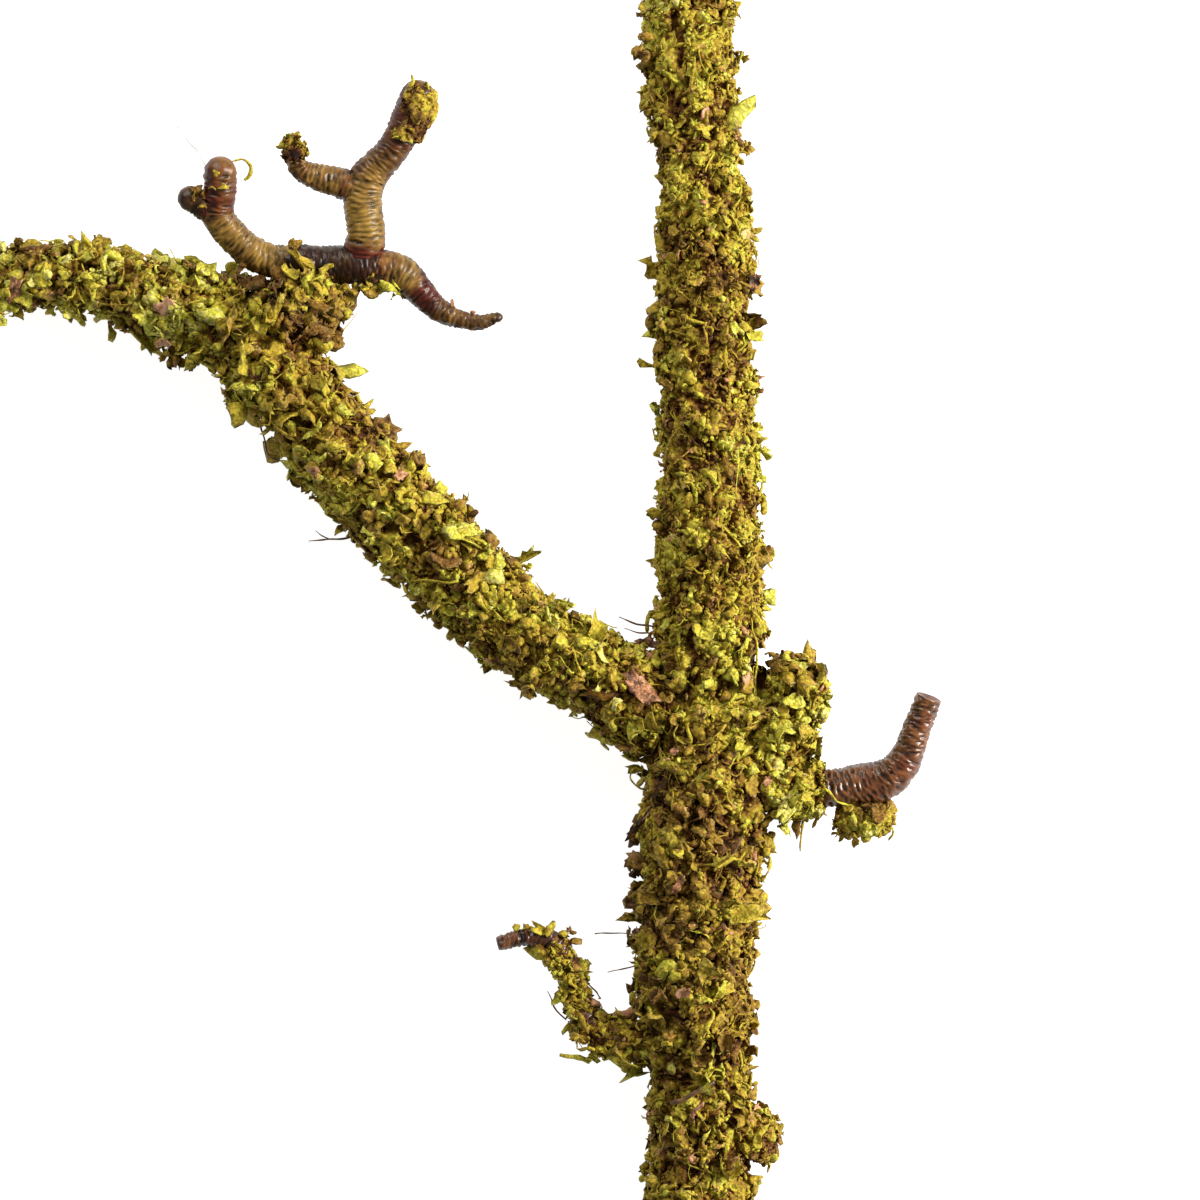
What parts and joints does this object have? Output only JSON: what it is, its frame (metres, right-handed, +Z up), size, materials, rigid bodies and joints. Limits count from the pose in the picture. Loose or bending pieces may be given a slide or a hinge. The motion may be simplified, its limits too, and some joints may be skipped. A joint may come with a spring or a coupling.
{
  "type": "lichen-covered twig",
  "caption": "Cut fruit twig lying flat, with a side branch and short ringed spurs, covered in yellow-green lichen flakes.",
  "frame": {"origin": "on the resting surface, under the middle of the twig's bounding box", "axes": "+Z up from the resting surface, +Y along the stem towards its upper cut, +X away from the side branch"},
  "size_m": [0.123, 0.1628, 0.0166],
  "materials": {
    "wood": "weathered grey-brown wood",
    "bark_red": "glossy red-brown ringed bark",
    "bark_brown": "satin brown ringed bark",
    "lichen": "matte yellow-green lichen flakes"
  },
  "bodies": {
    "root": {"stem_lower": "wood", "stem_upper": "wood", "side_branch": "wood", "side_branch_end": "wood", "spur_fork": "bark_red", "spur_left": "bark_red", "spur_crown": "bark_red", "spur_tail": "bark_red", "spur_bud": "bark_brown", "spur_right": "bark_brown", "spur_hook": "bark_brown", "stub_low": "bark_brown", "lichen_stem_foot": "lichen", "lichen_stem_lower": "lichen", "lichen_stem_fork": "lichen", "lichen_stem_middle": "lichen", "lichen_stem_top": "lichen", "lichen_branch_low": "lichen", "lichen_branch_high": "lichen", "lichen_branch_elbow": "lichen", "lichen_branch_end": "lichen", "lichen_clump": "lichen", "lichen_bud": "lichen", "lichen_right": "lichen", "lichen_hanging": "lichen", "lichen_hook": "lichen", "lichen_low_stub": "lichen", "lichen_crown_tip": "lichen", "lichen_crown_arm": "lichen"}
  },
  "joints": []
}
